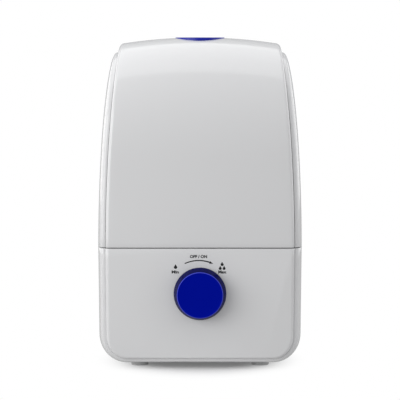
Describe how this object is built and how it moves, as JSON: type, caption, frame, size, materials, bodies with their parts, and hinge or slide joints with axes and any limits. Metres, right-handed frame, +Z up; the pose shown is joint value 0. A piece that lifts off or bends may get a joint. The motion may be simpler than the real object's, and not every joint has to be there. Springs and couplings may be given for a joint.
{
  "type": "cool mist humidifier",
  "caption": "Tabletop ultrasonic humidifier: lift-off arched water tank over a rounded base, with a round mist control knob, a turning mist nozzle and rubber feet.",
  "frame": {"origin": "centre of the bounding box in X and Y, at the level of the surface under the feet", "axes": "+Z up, the knob faces -Y, +X to the right seen from the front"},
  "size_m": [0.2006, 0.1876, 0.3214],
  "materials": {
    "gloss_white_plastic": "moulded gloss",
    "satin_white_plastic": "satin moulded",
    "gloss_blue_plastic": "deep blue gloss",
    "grey_rubber": "soft matt",
    "silicone": "smooth translucent grey",
    "steel": "plated",
    "cast_aluminium": "as cast",
    "brass": "lapped",
    "circuit_board": "solder-masked laminate",
    "black_plastic": "moulded",
    "filter_foam": "open-cell foam"
  },
  "bodies": {
    "base": {"air_duct": "satin_white_plastic", "air_filter": "filter_foam", "air_stack": "satin_white_plastic", "base_floor": "gloss_white_plastic", "base_shell": "gloss_white_plastic", "cord_gland": "black_plastic", "driver_board": "circuit_board", "fan_frame": "black_plastic", "float_clip": "satin_white_plastic", "floor_screw_back_left": "steel", "floor_screw_back_right": "steel", "floor_screw_front_left": "steel", "floor_screw_front_right": "steel", "foot_back_left": "grey_rubber", "foot_back_right": "grey_rubber", "foot_front_left": "grey_rubber", "foot_front_right": "grey_rubber", "heat_sink": "cast_aluminium", "mist_maker_cup": "satin_white_plastic", "potentiometer": "steel", "potentiometer_nut": "steel", "power_board": "circuit_board", "reed_switch": "black_plastic", "transducer_disc": "brass", "transducer_gasket": "silicone", "transducer_ring": "steel", "transformer": "steel", "water_tray": "satin_white_plastic"},
    "control_knob": {"knob": "gloss_blue_plastic", "knob_shaft": "steel"},
    "fan": {"fan_rotor": "black_plastic"},
    "float": {"float_ring": "satin_white_plastic", "float_magnet": "black_plastic"},
    "tank": {"tank_wrap": "gloss_white_plastic", "tank_side_left": "gloss_white_plastic", "tank_side_right": "gloss_white_plastic", "tank_floor": "satin_white_plastic", "mist_chimney": "satin_white_plastic", "chimney_seal": "silicone"},
    "filler_cap": {"tank_cap": "satin_white_plastic", "cap_gasket": "silicone", "valve_spring": "steel"},
    "valve": {"valve_stem": "satin_white_plastic", "valve_seal": "silicone"},
    "nozzle": {"nozzle_collar": "gloss_blue_plastic", "nozzle_seal": "silicone"},
    "mist_outlet": {"nozzle_cap": "gloss_blue_plastic"}
  },
  "joints": [
    {"name": "knob_turn", "type": "hinge", "parent": "base", "child": "control_knob", "pos_m": [0, -0.07775, 0.0742], "axis": [0, 1, 0], "range_deg": [0, 270]},
    {"name": "fan_spin", "type": "hinge", "parent": "base", "child": "fan", "pos_m": [0, 0.03325, 0.02], "axis": [0, 0, 1], "continuous": true},
    {"name": "float_rise", "type": "slide", "parent": "base", "child": "float", "axis": [0, 0, 1], "range_m": [0, 0.006]},
    {"name": "tank_lift", "type": "slide", "parent": "base", "child": "tank", "axis": [0, 0, 1], "range_m": [0, 0.12]},
    {"name": "cap_turn", "type": "hinge", "parent": "tank", "child": "filler_cap", "pos_m": [-0.0607, 0.00725, 0.1124], "axis": [0, 0, 1], "range_deg": [0, 90]},
    {"name": "valve_drop", "type": "slide", "parent": "filler_cap", "child": "valve", "axis": [0, 0, 1], "range_m": [-0.004, 0], "deforming": ["valve_spring"]},
    {"name": "nozzle_lift", "type": "slide", "parent": "tank", "child": "nozzle", "axis": [0, 0, 1], "range_m": [0, 0.03]},
    {"name": "outlet_turn", "type": "hinge", "parent": "nozzle", "child": "mist_outlet", "pos_m": [0, 0.00725, 0.3174], "axis": [0, 0, 1], "continuous": true}
  ],
  "couplings": [
    {"joint": "valve_drop", "follows": "tank_lift", "ratio": -0.0333}
  ]
}
